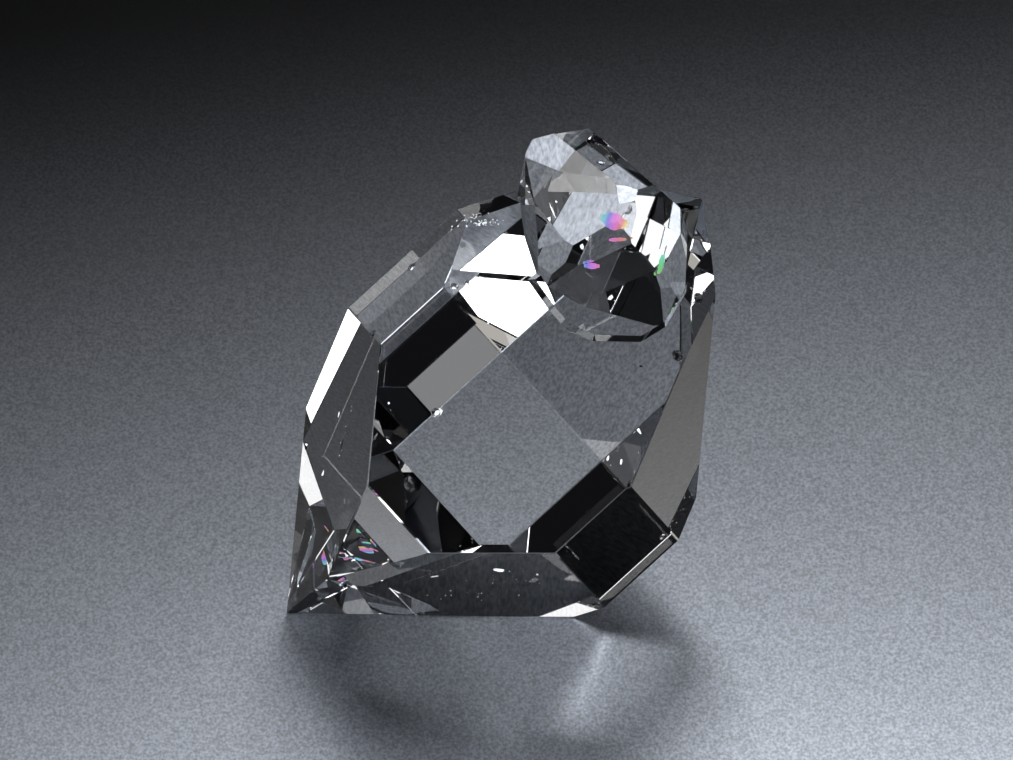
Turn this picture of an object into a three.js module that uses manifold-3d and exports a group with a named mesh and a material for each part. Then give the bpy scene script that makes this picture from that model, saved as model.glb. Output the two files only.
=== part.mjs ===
// A herkimer diamond: a clear quartz crystal with a point at both ends, and a smaller
// crystal grown into its shoulder. The two are one solid, lying on an end face.
//
// A crystal is given as a crystallographer gives it, by the direction of each face and
// the distance of that face from the middle of the crystal: each face cuts away what
// lies beyond it. Units are millimetres and degrees, +Z is up, and the origin is in the
// middle of the specimen's outline, on the surface that it lies on.

import * as THREE from "three";
import * as BufferGeometryUtils from "three/addons/utils/BufferGeometryUtils.js";
import Module from "manifold-3d";

const wasm = await Module();
wasm.setup();

// ---------------------------------------------------------------- driving dimensions

// Quartz fixes the angle between its long axis and the normal of every end face.
const END_FACE_ANGLE = 51.79;

// The long axis seen from above, from +X towards +Y. The crystal lies on an end face,
// so the axis leans from the vertical by END_FACE_ANGLE.
const AXIS_HEADING = 19.7;

// The six sides, named by where they look, as turns around the long axis.
const TURN = { front: 0, frontLow: 60, backLow: 120, back: 180, backHigh: 240, frontHigh: 300 };

// How far each face of the large crystal lies from its middle.
const PRISM_FACE = {
  front: 5.11,
  frontLow: 5.1,
  backLow: 4.13,
  back: 5.11,
  backHigh: 5.1,
  frontHigh: 7.48,
};
const UPPER_END_FACE = {
  front: 5.48,
  frontLow: 5.56,
  backLow: 5.63,
  back: 7.78,
  frontHigh: 8.58,
};
const LOWER_END_FACE = {
  front: 6.25,
  frontLow: 4.42,
  backLow: 4.24,
  back: 5.43,
  backHigh: 6.15,
  frontHigh: 6.06,
};

// The level top is a growth step: it is high on the left, and lies lower beyond a riser
// that is parallel to the backLow end face.
const LOW_TERRACE = 7.35;
const TERRACE_RISER = 1.81;

// The edges are sharp but for a narrow worn face along each, which lies this far below
// the edge. Faces closer in direction than the least angle meet in a sharp edge.
const EDGE_WEAR = 0.012;
const LEAST_WORN_ANGLE = 20;
const MOST_WORN_ANGLE = 150;

// A growth facet leans from its face by a few degrees and cuts off what lies beyond a
// line across that face. The line is square to the heading "toward", which is taken
// around the face's normal from the level, and it is "reach" from the foot of the normal.
const LARGE_GROWTH_FACETS = [
  { end: 1, side: "front", lean: 6, toward: 70, reach: 4.2 },
  { end: 1, side: "front", lean: 8, toward: -28, reach: 3.5 },
  { end: -1, side: "frontLow", lean: 2, toward: 210, reach: 0.19 },
];

// The small crystal's middle, from the large crystal's, and its faces: the heading and
// the climb of each face's normal, and its distance from the small crystal's middle.
const SMALL_MIDDLE = new THREE.Vector3(2.94, 1.27, 7.44);
const SMALL_FACES = [
  { name: "front", heading: -92, climb: -16, distance: 2.38 },
  { name: "frontBand", heading: -103, climb: -6, distance: 2.55 },
  { name: "frontHigh", heading: -82, climb: 24, distance: 3.14 },
  { name: "frontLeft", heading: -131, climb: 19, distance: 2.5 },
  { name: "frontRight", heading: -55, climb: 8, distance: 3.04 },
  { name: "frontRightLow", heading: -47, climb: -12, distance: 2.95 },
  { name: "crown", heading: -48, climb: 72, distance: 3.17 },
  { name: "left", heading: -156, climb: 4, distance: 2.52 },
  { name: "leftLow", heading: -167, climb: -16, distance: 2.62 },
  { name: "leftBack", heading: 169, climb: 7, distance: 2.94 },
  { name: "leftBackHigh", heading: 162, climb: 24, distance: 3.32 },
  { name: "right", heading: 5, climb: -2, distance: 2.75 },
  { name: "rightHigh", heading: 15, climb: 20, distance: 2.55 },
  { name: "rightRoof", heading: 24, climb: 43, distance: 2.41 },
  { name: "rightLow", heading: -12, climb: -32, distance: 3.12 },
  { name: "backRoof", heading: 113, climb: 59, distance: 3.44 },
  { name: "back", heading: 84, climb: -9, distance: 3.24 },
  { name: "rootFront", heading: -70, climb: -45, distance: 3.32 },
  { name: "rootBack", heading: 51, climb: -81, distance: 2.72 },
];

// The small crystal's faces are broken by the same growth facets, turned by the same
// angle from one face to the next. Its largest faces stayed whole.
const SMALL_GROWTH_FACETS = [
  { lean: 16, toward: 150, reach: 0.8 },
  { lean: 6, toward: 180, reach: 0.2 },
  { lean: 12, toward: 300, reach: 0.3 },
  { lean: 12, toward: 150, reach: 1 },
];
const GROWTH_FACET_TURN = 160;
const WHOLE_FACES = ["crown", "leftBackHigh", "rightHigh", "rightRoof", "backRoof"];

// A low ledge of later growth on the front upper end face, around the small crystal's
// foot: its corners, along and up the face from the foot of the large crystal's middle.
const LEDGE_HEIGHT = 0.16;
const LEDGE_SLOPE = 42;
const LEDGE_ROOT = 0.6;
const LEDGE_CORNERS = [
  [-4.08, 1.45],
  [-2.87, 1.26],
  [-2.1, 1.25],
  [-1.24, 1.73],
  [-0.18, 3.15],
  [0, 4.31],
  [-0.45, 6.22],
  [-3.62, 6.03],
];

// Small chips knocked out of edges and corners, from the large crystal's middle.
const CHIPS = [
  { at: [-2.3, -4, 3.7], size: 0.16 },
  { at: [-1.7, -2.2, 7.3], size: 0.14 },
  { at: [-1.3, -1.9, 7.3], size: 0.11 },
  { at: [-3.1, -0.3, 7.2], size: 0.17 },
  { at: [6.1, 1.8, 5.2], size: 0.2 },
  { at: [-6.5, 0.1, 0.8], size: 0.15 },
  { at: [2.8, -2.8, -3.5], size: 0.15 },
  { at: [4.9, -2.4, -1.3], size: 0.12 },
  { at: [-4.3, -2.3, 5.7], size: 0.15 },
  { at: [-5.2, -3.5, -2.5], size: 0.18 },
  { at: [5.4, -0.3, 4.1], size: 0.2 },
];

// The size of the block that each crystal is cut from.
const BLOCK = 60;

// -------------------------------------------------------------------------- geometry

const radians = THREE.MathUtils.degToRad;
const UP = new THREE.Vector3(0, 0, 1);

/** The unit vector with this heading in plan and this climb above the horizontal. */
function direction(heading, climb) {
  const level = Math.cos(radians(climb));
  return new THREE.Vector3(
    level * Math.cos(radians(heading)),
    level * Math.sin(radians(heading)),
    Math.sin(radians(climb)),
  );
}

/** A three.js geometry as a solid. */
function toSolid(geometry) {
  geometry.deleteAttribute("normal");
  geometry.deleteAttribute("uv");
  const merged = BufferGeometryUtils.mergeVertices(geometry);
  const mesh = new wasm.Mesh({
    numProp: 3,
    vertProperties: merged.attributes.position.array,
    triVerts: Uint32Array.from(merged.index.array),
  });
  return new wasm.Manifold(mesh);
}

/** A solid as a three.js geometry with flat faces. */
function toGeometry(solid) {
  const mesh = solid.getMesh();
  const geometry = new THREE.BufferGeometry();
  geometry.setAttribute("position", new THREE.BufferAttribute(mesh.vertProperties, 3));
  geometry.setIndex(new THREE.BufferAttribute(mesh.triVerts, 1));
  const flat = geometry.toNonIndexed();
  flat.computeVertexNormals();
  return flat;
}

/** What is left of a block when all that lies beyond each face is cut away. */
function cutByFaces(faces) {
  const block = toSolid(new THREE.BoxGeometry(BLOCK, BLOCK, BLOCK));
  return faces.reduce(
    (solid, { normal, distance }) => solid.trimByPlane(normal.clone().negate().toArray(), -distance),
    block,
  );
}

/** The face seen from the other side, which keeps what it cut away before. */
function turnedOver({ normal, distance }) {
  return { normal: normal.clone().negate(), distance: -distance };
}

/** The growth facet that leans from a face. */
function growthFacet(face, { lean, toward, reach }) {
  const level = UP.clone().cross(face.normal).normalize();
  const rise = face.normal.clone().cross(level);
  const outward = level
    .multiplyScalar(Math.cos(radians(toward)))
    .addScaledVector(rise, Math.sin(radians(toward)));
  const normal = face.normal
    .clone()
    .multiplyScalar(Math.cos(radians(lean)))
    .addScaledVector(outward, Math.sin(radians(lean)));
  const hinge = face.normal.clone().multiplyScalar(face.distance).addScaledVector(outward, reach);
  return { normal, distance: normal.dot(hinge) };
}

/** The narrow worn faces along the edges where these faces meet. */
function wornEdges(faces) {
  const pairs = faces.flatMap((one, i) => faces.slice(i + 1).map((other) => [one, other]));
  const edges = pairs.filter(([one, other]) => {
    const angle = one.normal.angleTo(other.normal);
    return angle > radians(LEAST_WORN_ANGLE) && angle < radians(MOST_WORN_ANGLE);
  });
  return edges.map(([one, other]) => {
    const between = one.normal.clone().add(other.normal);
    const edge = (one.distance + other.distance) / between.length();
    return { normal: between.normalize(), distance: edge - EDGE_WEAR };
  });
}

/** The face moved with a crystal whose middle goes from the origin to a point. */
function movedTo(point, { normal, distance }) {
  return { normal, distance: distance + normal.dot(point) };
}

// ----------------------------------------------------------------- the large crystal

const AXIS = direction(AXIS_HEADING, 90 - END_FACE_ANGLE);
const BACK_LOW_SIDE = UP.clone()
  .negate()
  .addScaledVector(AXIS, Math.cos(radians(END_FACE_ANGLE)))
  .normalize();

/** The outward normal of the side at this turn around the long axis. */
function sideNormal(side) {
  return BACK_LOW_SIDE.clone().applyAxisAngle(AXIS, radians(TURN[side] - TURN.backLow));
}

/** The normal of the end face above a side, or below it where end is -1. */
function endNormal(side, end) {
  return sideNormal(side)
    .multiplyScalar(Math.sin(radians(END_FACE_ANGLE)))
    .addScaledVector(AXIS, end * Math.cos(radians(END_FACE_ANGLE)));
}

function prismFace(side) {
  return { normal: sideNormal(side), distance: PRISM_FACE[side] };
}

function upperEndFace(side, distance = UPPER_END_FACE[side]) {
  return { normal: endNormal(side, 1), distance };
}

function lowerEndFace(side) {
  return { normal: endNormal(side, -1), distance: LOWER_END_FACE[side] };
}

function largeCrystal() {
  const growthFacets = LARGE_GROWTH_FACETS.map(({ end, side, ...facet }) => {
    const face = end > 0 ? upperEndFace(side) : lowerEndFace(side);
    return growthFacet(face, facet);
  });
  const faces = [
    ...Object.keys(PRISM_FACE).map(prismFace),
    ...Object.keys(UPPER_END_FACE).map((side) => upperEndFace(side)),
    ...Object.keys(LOWER_END_FACE).map(lowerEndFace),
  ];
  const whole = cutByFaces([...faces, ...growthFacets, ...wornEdges(faces)]);
  const aboveLowTerrace = cutByFaces([
    turnedOver(upperEndFace("frontHigh", LOW_TERRACE)),
    turnedOver(upperEndFace("backLow", TERRACE_RISER)),
  ]);
  return whole.subtract(aboveLowTerrace);
}

// ----------------------------------------------------- the small crystal and its ledge

function smallCrystal() {
  const faces = SMALL_FACES.map(({ name, heading, climb, distance }) => {
    return { name, normal: direction(heading, climb), distance };
  });
  const broken = faces.filter(({ name }) => !WHOLE_FACES.includes(name));
  const growthFacets = broken.flatMap((face, i) => {
    const turn = GROWTH_FACET_TURN * i;
    return SMALL_GROWTH_FACETS.map(({ lean, toward, reach }) => {
      return growthFacet(face, { lean, toward: toward + turn, reach });
    });
  });
  const all = [...faces, ...growthFacets, ...wornEdges(faces)];
  return cutByFaces(all.map((face) => movedTo(SMALL_MIDDLE, face)));
}

function growthLedge() {
  const seat = upperEndFace("front");
  const along = AXIS.clone().cross(sideNormal("front")).normalize();
  const up = seat.normal.clone().cross(along);
  const corners = LEDGE_CORNERS.map(([right, rise]) => {
    const foot = seat.normal.clone().multiplyScalar(seat.distance);
    return foot.addScaledVector(along, right).addScaledVector(up, rise);
  });
  const flanks = corners.map((corner, i) => {
    const next = corners[(i + 1) % corners.length];
    const outward = next.clone().sub(corner).cross(seat.normal).normalize();
    const normal = outward
      .multiplyScalar(Math.cos(radians(LEDGE_SLOPE)))
      .addScaledVector(seat.normal, Math.sin(radians(LEDGE_SLOPE)));
    return { normal, distance: normal.dot(corner) };
  });
  const top = { normal: seat.normal, distance: seat.distance + LEDGE_HEIGHT };
  const root = turnedOver({ normal: seat.normal, distance: seat.distance - LEDGE_ROOT });
  return cutByFaces([top, root, ...flanks]);
}

function chipped(solid) {
  const chips = CHIPS.map(({ at, size }) => {
    return toSolid(new THREE.IcosahedronGeometry(size, 1).translate(...at));
  });
  return chips.reduce((rest, chip) => rest.subtract(chip), solid);
}

// ---------------------------------------------------------------------- the specimen

const clearQuartz = new THREE.MeshStandardMaterial({
  name: "clear quartz",
  color: 0xdfe3e6,
  roughness: 0.02,
  metalness: 0,
  transparent: true,
  opacity: 0.55,
});

const specimen = chipped(largeCrystal().add(growthLedge()).add(smallCrystal()));
const crystal = new THREE.Mesh(toGeometry(specimen), clearQuartz);
crystal.name = "herkimer_crystal";

// Stand the crystal on its end face, with its outline centred on the origin.
const box = new THREE.Box3().setFromObject(crystal);
const middle = box.getCenter(new THREE.Vector3());
crystal.position.set(-middle.x, -middle.y, -box.min.z);

const herkimerDiamond = new THREE.Group();
herkimerDiamond.add(crystal);

export default herkimerDiamond;
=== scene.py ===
import math
import random

import bmesh
import bpy
from mathutils import Euler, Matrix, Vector, noise


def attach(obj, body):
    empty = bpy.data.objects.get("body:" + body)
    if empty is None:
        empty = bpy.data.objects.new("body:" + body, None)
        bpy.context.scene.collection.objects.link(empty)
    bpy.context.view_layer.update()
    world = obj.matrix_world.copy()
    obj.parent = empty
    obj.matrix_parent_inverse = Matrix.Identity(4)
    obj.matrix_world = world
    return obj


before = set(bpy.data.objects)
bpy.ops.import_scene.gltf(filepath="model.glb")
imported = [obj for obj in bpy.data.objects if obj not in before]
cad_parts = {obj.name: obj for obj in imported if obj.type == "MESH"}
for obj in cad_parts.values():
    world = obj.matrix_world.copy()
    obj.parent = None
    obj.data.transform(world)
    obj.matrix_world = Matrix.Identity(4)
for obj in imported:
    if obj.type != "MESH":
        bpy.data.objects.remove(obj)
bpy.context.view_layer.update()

MM = 0.001

# The picture's width in pixels, and what one pixel measures on the crystal. The camera
# is half a metre away with a long lens, so parallel edges stay nearly parallel.
FRAME_WIDTH = 1013
PIXEL = 0.032 * MM
CAMERA_CLIMB = math.radians(23.1)
CAMERA_AIM = Vector((0.171, 0.417, 6.88)) * MM
LENS = 600.0
SENSOR = 36.0

QUARTZ_IOR = 1.5485
QUARTZ_TINT = (0.82, 0.87, 0.92, 1)
QUARTZ_ABSORPTION = 6.0

# Specks sealed in the quartz: the middle of each, its half sizes and its turn, in
# millimetres and degrees. A higher unevenness makes the grains less round.
DARK_UNEVENNESS = 0.5
PALE_UNEVENNESS = 0.6
VEIL_UNEVENNESS = 0.5
DARK_COLOUR = (0.12, 0.045, 0.012)
PALE_COLOUR = (0.85, 0.87, 0.9)
DARK_SPECKS = [
    ((-4.9, -2.8, 6.0), (0.07, 0.05, 0.24), (10, 5, 20)),
    ((-4.7, -2.4, 5.3), (0.03, 0.03, 0.05), (0, 0, 30)),
    ((4.4, -1.7, 8.2), (0.06, 0.03, 0.04), (30, 0, 0)),
]
PALE_SPECKS = [
    ((-0.05, -5.2, 2.85), (0.19, 0.06, 0.09), (0, 20, 0)),
    ((-2.0, -4.4, 7.8), (0.1, 0.04, 0.16), (0, 40, 0)),
    ((-5.0, -2.0, 6.7), (0.04, 0.03, 0.1), (0, 10, 0)),
    ((-5.5, -2.0, 4.65), (0.06, 0.04, 0.09), (0, 35, 0)),
    ((-2.1, -4.8, 2.45), (0.13, 0.04, 0.03), (0, -20, 0)),
    ((1.15, -4.9, 2.6), (0.03, 0.03, 0.04), (0, 0, 0)),
]

# Veils of fine pale specks: the middle, two half sides, the number of specks, and the
# largest half size of a speck.
VEIL_SEED = 7
VEILS = [
    ((-0.9, -3.7, 1.4), (1.7, 0, 0), (0, -0.42, 0.42), 26, 0.028),
    ((0.4, -4.6, 2.4), (1.7, 0, 0), (0, -0.42, 0.42), 22, 0.022),
    ((-4.7, -2.4, 6.3), (0.15, -0.35, 0), (0.2, 0, 1.5), 16, 0.026),
    ((-0.7, 0.1, 12.3), (0.75, 0.1, 0.1), (0, -0.45, 0.15), 70, 0.032),
]

# Small cracks whose rainbow colours are a painted reflection of the light they throw back:
# the middle, two half sides, and where the colours start and end around the colour circle.
# Their rims are ragged, and they narrow towards the ends of the first side.
CRACKS = [
    ((3.6, -1.65, 13.25), (0.4, 0, -0.12), (0.05, 0.02, 0.26), (0.45, 1.15)),
    ((5.0, -1.5, 11.75), (0.1, 0, 0.3), (0.13, 0, -0.02), (0.3, 0.45)),
    ((3.75, -1.6, 12.65), (0.28, 0, 0.02), (0, 0, 0.07), (0.85, 1.05)),
    ((2.9, -1.4, 11.75), (0.24, 0, 0.0), (0, 0, 0.12), (0.6, 0.95)),
]
CRACK_STEPS = 14
CRACK_HALF_THICKNESS = 0.008
CRACK_RAGGEDNESS = 0.7
CRACK_TAPER = 0.55
RAINBOW_PALENESS = 0.3

# Real cracks and pale specks gather light from all around. Here they glow a little
# instead, as painted light.
CRACK_PAINTED_GLOW = 0.45
SPECK_PAINTED_GLOW = 1.3

# A thin film of air is left between the crystal and the floor.
FLOOR_SIZE = 3.0
FLOOR_GAP = 0.03 * MM
FLOOR_ROUGHNESS = 0.34
FLOOR_SHEEN = 0.86

# The floor's grain, stretched away from the camera, and its darkest and lightest tone,
# which it reaches at the ends of this range of the noise.
GRAIN = 0.09 * MM
GRAIN_STRETCH = 2.2
GRAIN_DETAIL = 3.0
GRAIN_RANGE = (0.3, 0.7)
GRAIN_DARK = (0.27, 0.293, 0.335, 1)
GRAIN_LIGHT = (0.55, 0.592, 0.668, 1)

# The floor's tone is scaled from a near tone to a far tone between these places on this
# way: painted light near the camera and painted shade at the back, for light falling off
# away from the lamps.
PAINTED_LIGHT_WAY = (-0.3, 0.95, 0)
PAINTED_LIGHT_START = -25 * MM
PAINTED_SHADE_END = 53 * MM
NEAR_PAINTED_LIGHT = 1.68
FAR_PAINTED_SHADE = 0.03

# The lights, which all look at one point in the crystal: the heading (90 is away from the
# camera, 0 to the right), the climb, the distance, the width and height, the radiance
# and the colour.
LIGHTS_AIM = Vector((0, 0, 7 * MM))
WHITE = (1, 1, 1)
WARM = (1.0, 0.94, 0.86)
LIGHTS = [
    ("softbox", 84, 43, 0.14, 0.05, 0.09, 4.2, WHITE),
    ("top_box", 105, 76, 0.14, 0.03, 0.03, 0.5, WHITE),
    ("front_box", -70, 21, 0.2, 0.08, 0.115, 2.6, WHITE),
    ("high_box", -30, 54, 0.2, 0.045, 0.045, 1.6, WHITE),
    ("left_box", -150, 42, 0.2, 0.06, 0.11, 1.2, WHITE),
    ("back_card", 129, 23, 0.2, 0.04, 0.045, 0.2, WHITE),
    ("warm_card", 142, 13, 0.2, 0.05, 0.08, 0.45, WARM),
]

# A black card behind the crystal, which hides the softbox's lower part from it: how far
# behind it stands, its left and right ends, and its height.
FLAG = (0.062, -0.05, 0.06, 0.052)

# The room's tone in front of the crystal and overhead, and its tone low behind it. One
# passes into the other between these parts of a way, towards +Y and downwards.
ROOM_DARK = (0.005, 0.005, 0.006, 1)
ROOM_BEHIND = (0.04, 0.04, 0.041, 1)
BEHIND_RANGE = (-0.1, 0.35)
LOW_RANGE = (0.75, 0.45)


def new_material(name):
    """A material and its shader."""
    material = bpy.data.materials.new(name)
    material.use_nodes = True
    return material, material.node_tree.nodes["Principled BSDF"]


def ranged(nodes, ends, low=0.0, high=1.0):
    """A node that brings a value between these ends to one between low and high."""
    node = nodes.new("ShaderNodeMapRange")
    node.inputs["From Min"].default_value = ends[0]
    node.inputs["From Max"].default_value = ends[1]
    node.inputs["To Min"].default_value = low
    node.inputs["To Max"].default_value = high
    return node


def mixed(nodes, first, second):
    """A node that mixes two colours."""
    node = nodes.new("ShaderNodeMix")
    node.data_type = "RGBA"
    node.inputs["A"].default_value = first
    node.inputs["B"].default_value = second
    return node


def quartz_material():
    """Water-clear quartz, with the faintest tint in its depth."""
    material, shader = new_material("clear_quartz")
    shader.inputs["Base Color"].default_value = (1, 1, 1, 1)
    shader.inputs["Roughness"].default_value = 0.0
    shader.inputs["IOR"].default_value = QUARTZ_IOR
    shader.inputs["Transmission Weight"].default_value = 1.0
    nodes = material.node_tree.nodes
    depth = nodes.new("ShaderNodeVolumeAbsorption")
    depth.inputs["Color"].default_value = QUARTZ_TINT
    depth.inputs["Density"].default_value = QUARTZ_ABSORPTION
    output = nodes["Material Output"]
    material.node_tree.links.new(depth.outputs["Volume"], output.inputs["Volume"])
    return material


def floor_material():
    """Satin paper with a fine grain, with painted light near the front and painted shade
    towards the back left.
    """
    material, shader = new_material("floor")
    nodes = material.node_tree.nodes
    link = material.node_tree.links.new
    shader.inputs["Roughness"].default_value = FLOOR_ROUGHNESS
    shader.inputs["Metallic"].default_value = FLOOR_SHEEN
    place = nodes.new("ShaderNodeTexCoord")
    drawn_out = nodes.new("ShaderNodeVectorMath")
    drawn_out.operation = "MULTIPLY"
    drawn_out.inputs[1].default_value = (1, 1 / GRAIN_STRETCH, 1)
    link(place.outputs["Object"], drawn_out.inputs[0])
    grain = nodes.new("ShaderNodeTexNoise")
    grain.inputs["Scale"].default_value = 1 / GRAIN
    grain.inputs["Detail"].default_value = GRAIN_DETAIL
    link(drawn_out.outputs["Vector"], grain.inputs["Vector"])
    tone = mixed(nodes, GRAIN_DARK, GRAIN_LIGHT)
    spread = ranged(nodes, GRAIN_RANGE)
    link(grain.outputs["Fac"], spread.inputs["Value"])
    link(spread.outputs["Result"], tone.inputs["Factor"])
    away = nodes.new("ShaderNodeVectorMath")
    away.operation = "DOT_PRODUCT"
    away.inputs[1].default_value = PAINTED_LIGHT_WAY
    link(place.outputs["Object"], away.inputs[0])
    # Painted light and shade: the floor is scaled brighter near the camera and darker
    # towards the back left.
    painted_falloff = ranged(nodes, (PAINTED_LIGHT_START, PAINTED_SHADE_END), NEAR_PAINTED_LIGHT, FAR_PAINTED_SHADE)
    painted_falloff.interpolation_type = "SMOOTHSTEP"
    link(away.outputs["Value"], painted_falloff.inputs["Value"])
    painted_light_tone = nodes.new("ShaderNodeVectorMath")
    painted_light_tone.operation = "SCALE"
    link(tone.outputs["Result"], painted_light_tone.inputs[0])
    link(painted_falloff.outputs["Result"], painted_light_tone.inputs["Scale"])
    link(painted_light_tone.outputs["Vector"], shader.inputs["Base Color"])
    return material


def black_material():
    """Black velvet, which throws no light back."""
    material, shader = new_material("black_card")
    shader.inputs["Base Color"].default_value = (0, 0, 0, 1)
    shader.inputs["Specular IOR Level"].default_value = 0.0
    shader.inputs["Roughness"].default_value = 1.0
    return material


def speck_material(name, colour, roughness, glow=0.0):
    """A dull plain colour, with a glow of painted light in that colour where one is given.
    """
    material, shader = new_material(name)
    shader.inputs["Base Color"].default_value = (*colour, 1)
    shader.inputs["Roughness"].default_value = roughness
    shader.inputs["Emission Color"].default_value = (*colour, 1)
    # Painted light: the glow stands in for light the specks gather from around them.
    shader.inputs["Emission Strength"].default_value = glow
    return material


def rainbow_material():
    """Each crack takes its own colours from its corners' colours: a painted reflection,
    which also glows as painted light.
    """
    material, shader = new_material("rainbow_crack")
    link = material.node_tree.links.new
    colours = material.node_tree.nodes.new("ShaderNodeAttribute")
    colours.attribute_name = "rainbow"
    link(colours.outputs["Color"], shader.inputs["Base Color"])
    link(colours.outputs["Color"], shader.inputs["Emission Color"])
    shader.inputs["Emission Strength"].default_value = CRACK_PAINTED_GLOW
    shader.inputs["Roughness"].default_value = 0.3
    return material


def add_to_scene(name, data):
    obj = bpy.data.objects.new(name, data)
    bpy.context.scene.collection.objects.link(obj)
    return obj


def new_object(name, bm, material):
    mesh = bpy.data.meshes.new(name)
    bm.to_mesh(mesh)
    bm.free()
    mesh.materials.append(material)
    return add_to_scene(name, mesh)


def four_cornered(name, corners, material):
    """A flat sheet with these corners."""
    mesh = bpy.data.meshes.new(name)
    mesh.from_pydata(corners, [], [(0, 1, 2, 3)])
    mesh.materials.append(material)
    return add_to_scene(name, mesh)


def add_lump(bm, middle, half_sizes, turn, unevenness, seed):
    """An irregular rounded grain, placed and sized in millimetres."""
    corners = bmesh.ops.create_icosphere(bm, subdivisions=2, radius=1.0)["verts"]
    rotation = Euler([math.radians(a) for a in turn]).to_matrix()
    for corner in corners:
        way = corner.co.normalized()
        spot = way * 1.6 + Vector((seed * 3.7, seed * 1.3, 0))
        swell = 1 + unevenness * noise.noise(spot)
        shaped = Vector([half * part * swell for half, part in zip(half_sizes, way)])
        corner.co = (Vector(middle) + rotation @ shaped) * MM


def specks(name, rows, material, unevenness):
    """One grain for each row, in one object."""
    bm = bmesh.new()
    for seed, (middle, half_sizes, turn) in enumerate(rows):
        add_lump(bm, middle, half_sizes, turn, unevenness, seed)
    return new_object(name, bm, material)


def veils(name, rows, material):
    """Fine specks scattered over flat patches, thinner towards the rims."""
    bm = bmesh.new()
    chance = random.Random(VEIL_SEED)
    for middle, one, other, count, largest in rows:
        for seed in range(count):
            angle = chance.uniform(0, 2 * math.pi)
            out = chance.uniform(0.1, 1)
            place = Vector(middle) + Vector(one) * out * math.cos(angle)
            place += Vector(other) * out * math.sin(angle)
            size = largest * chance.uniform(0.3, 1) ** 2
            half_sizes = [size * chance.uniform(0.5, 1.2) for _ in range(3)]
            turn = [chance.uniform(0, 180) for _ in range(3)]
            add_lump(bm, place, half_sizes, turn, VEIL_UNEVENNESS, seed)
    return new_object(name, bm, material)


def cracks(name, rows, material):
    """Thin ragged cracks, narrower at the ends, whose painted reflection colours run along
    the first side.
    """
    bm = bmesh.new()
    paint = bm.loops.layers.float_color.new("rainbow")
    for middle, one, other, (start, end) in rows:
        middle, one, other = Vector(middle), Vector(one), Vector(other)
        through = one.cross(other).normalized() * CRACK_HALF_THICKNESS
        rings = []
        for i in range(CRACK_STEPS + 1):
            along = 2 * i / CRACK_STEPS - 1
            bite = abs(noise.noise(Vector((along * 2.3, start * 5, 0))))
            width = 1 - CRACK_RAGGEDNESS * bite
            width *= 1 - CRACK_TAPER * along * along
            line = [middle + one * along + other * side * width for side in (-1, 1)]
            ring = [(point + through * depth) * MM for point in line for depth in (-1, 1)]
            rings.append([bm.verts.new(point) for point in ring])
        quads = [(0, 1), (1, 3), (3, 2), (2, 0)]
        faces = [[ring[k] for k in (0, 1, 3, 2)] for ring in (rings[0], rings[-1])]
        for near, far in zip(rings, rings[1:]):
            faces += [[near[a], near[b], far[b], far[a]] for a, b in quads]
        for corners in faces:
            face = bm.faces.new(corners)
            for loop in face.loops:
                along = ((loop.vert.co / MM - middle).dot(one) / one.length_squared + 1) / 2
                hue = (start + (end - start) * along) % 1.0
                loop[paint] = (*rainbow(hue), 1)
    bmesh.ops.recalc_face_normals(bm, faces=bm.faces[:])
    return new_object(name, bm, material)


def rainbow(hue):
    """The colour at this place around the colour circle, made paler."""
    bright = [max(0.0, min(1.0, abs((hue * 6 + shift) % 6 - 3) - 1)) for shift in (0, 4, 2)]
    return [RAINBOW_PALENESS + (1 - RAINBOW_PALENESS) * part for part in bright]


def add_floor():
    """The floor, level and wide enough to fill every view."""
    half = FLOOR_SIZE / 2
    sides = [(-half, -half), (half, -half), (half, half), (-half, half)]
    corners = [(x, y, -FLOOR_GAP) for x, y in sides]
    four_cornered("floor", corners, floor_material())


def add_flag():
    """The black card, which is seen only through the crystal and in it."""
    away, left, right, height = FLAG
    ends = [(left, 0), (right, 0), (right, height), (left, height)]
    corners = [(x, away, z) for x, z in ends]
    flag = four_cornered("flag", corners, black_material())
    flag.visible_camera = False
    flag.visible_shadow = False


def add_light(name, heading, climb, distance, width, height, radiance, colour):
    """A soft box or a lit card, seen from the crystal at this heading and climb."""
    h = math.radians(heading)
    c = math.radians(climb)
    way = Vector((math.cos(c) * math.cos(h), math.cos(c) * math.sin(h), math.sin(c)))
    data = bpy.data.lights.new(name, "AREA")
    data.shape = "RECTANGLE"
    data.size = width
    data.size_y = height
    data.energy = radiance * width * height * math.pi
    data.color = colour
    obj = add_to_scene(name, data)
    obj.location = LIGHTS_AIM + way * distance
    obj.rotation_euler = (-way).to_track_quat("-Z", "Y").to_euler()
    obj.visible_camera = False


def add_camera():
    """A camera in front of the crystal, looking a little down on it."""
    data = bpy.data.cameras.new("camera")
    data.lens = LENS
    data.sensor_width = SENSOR
    data.clip_start = 0.01
    data.clip_end = 20
    distance = FRAME_WIDTH * PIXEL * LENS / SENSOR
    back = Vector((0, -math.cos(CAMERA_CLIMB), math.sin(CAMERA_CLIMB)))
    camera = add_to_scene("camera", data)
    camera.location = CAMERA_AIM + back * distance
    camera.rotation_euler = (-back).to_track_quat("-Z", "Y").to_euler()
    bpy.context.scene.camera = camera


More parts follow.
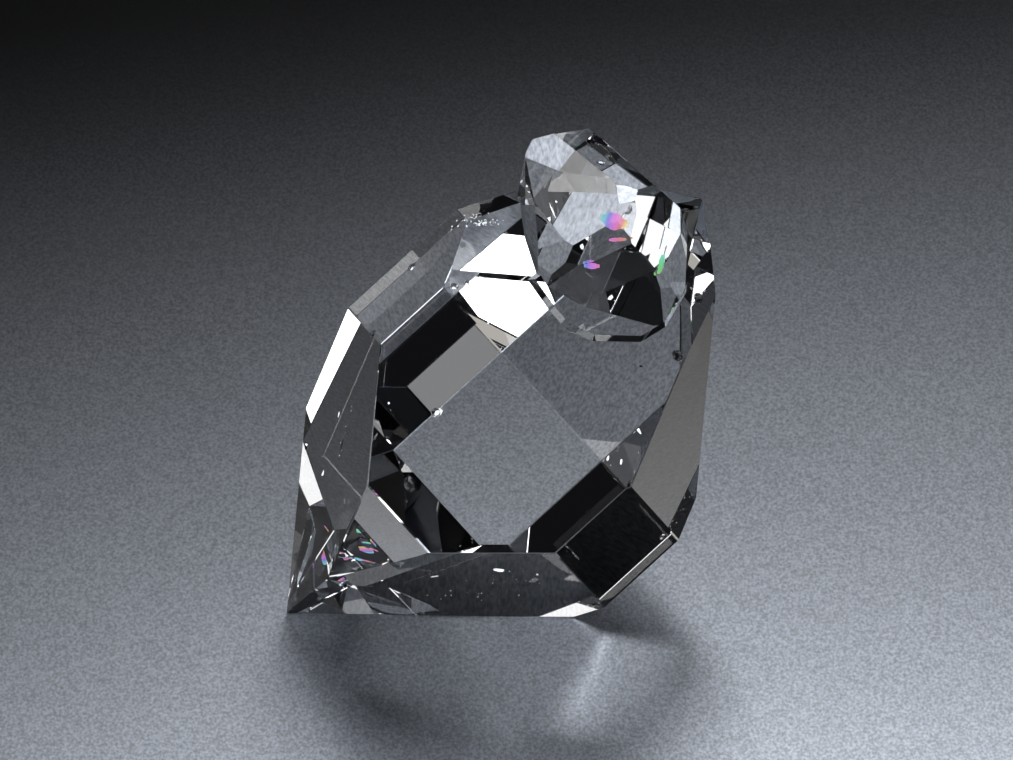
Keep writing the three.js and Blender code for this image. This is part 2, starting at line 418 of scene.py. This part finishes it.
def add_world():
    """A dim room: a little light from behind, dark overhead and on the camera's side."""
    world = bpy.data.worlds.new("studio")
    bpy.context.scene.world = world
    world.use_nodes = True
    nodes = world.node_tree.nodes
    link = world.node_tree.links.new
    ways = nodes.new("ShaderNodeTexCoord")
    split = nodes.new("ShaderNodeSeparateXYZ")
    link(ways.outputs["Generated"], split.inputs[0])
    behind = ranged(nodes, BEHIND_RANGE)
    link(split.outputs["Y"], behind.inputs["Value"])
    low = ranged(nodes, LOW_RANGE)
    link(split.outputs["Z"], low.inputs["Value"])
    both = nodes.new("ShaderNodeMath")
    both.operation = "MULTIPLY"
    link(behind.outputs["Result"], both.inputs[0])
    link(low.outputs["Result"], both.inputs[1])
    tone = mixed(nodes, ROOM_DARK, ROOM_BEHIND)
    link(both.outputs[0], tone.inputs["Factor"])
    link(tone.outputs["Result"], nodes["Background"].inputs["Color"])


def set_light_paths():
    """Enough bounces for light that goes to and fro inside the crystal."""
    scene = bpy.context.scene
    scene.view_settings.view_transform = "Standard"
    scene.cycles.max_bounces = 32
    scene.cycles.transmission_bounces = 32
    scene.cycles.glossy_bounces = 16
    scene.cycles.use_denoising = True
    scene.cycles.caustics_refractive = True
    scene.cycles.caustics_reflective = True
    scene.cycles.blur_glossy = 0.0
    scene.cycles.sample_clamp_indirect = 0


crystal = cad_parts["herkimer_crystal"]
crystal.data.materials.clear()
crystal.data.materials.append(quartz_material())
for polygon in crystal.data.polygons:
    polygon.use_smooth = False

pale = speck_material("pale_inclusion", PALE_COLOUR, 0.35, SPECK_PAINTED_GLOW)
dark = speck_material("dark_inclusion", DARK_COLOUR, 0.5)
pieces = [
    (specks("dark_inclusions", DARK_SPECKS, dark, DARK_UNEVENNESS), "dark_inclusion"),
    (specks("pale_inclusions", PALE_SPECKS, pale, PALE_UNEVENNESS), "pale_inclusion"),
    (veils("pale_veils", VEILS, pale), "pale_inclusion"),
    (cracks("rainbow_cracks", CRACKS, rainbow_material()), "rainbow_crack"),
]
for piece, slot in pieces:
    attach(piece, "root")

add_floor()
for row in LIGHTS:
    add_light(*row)
add_flag()
add_world()
add_camera()
set_light_paths()
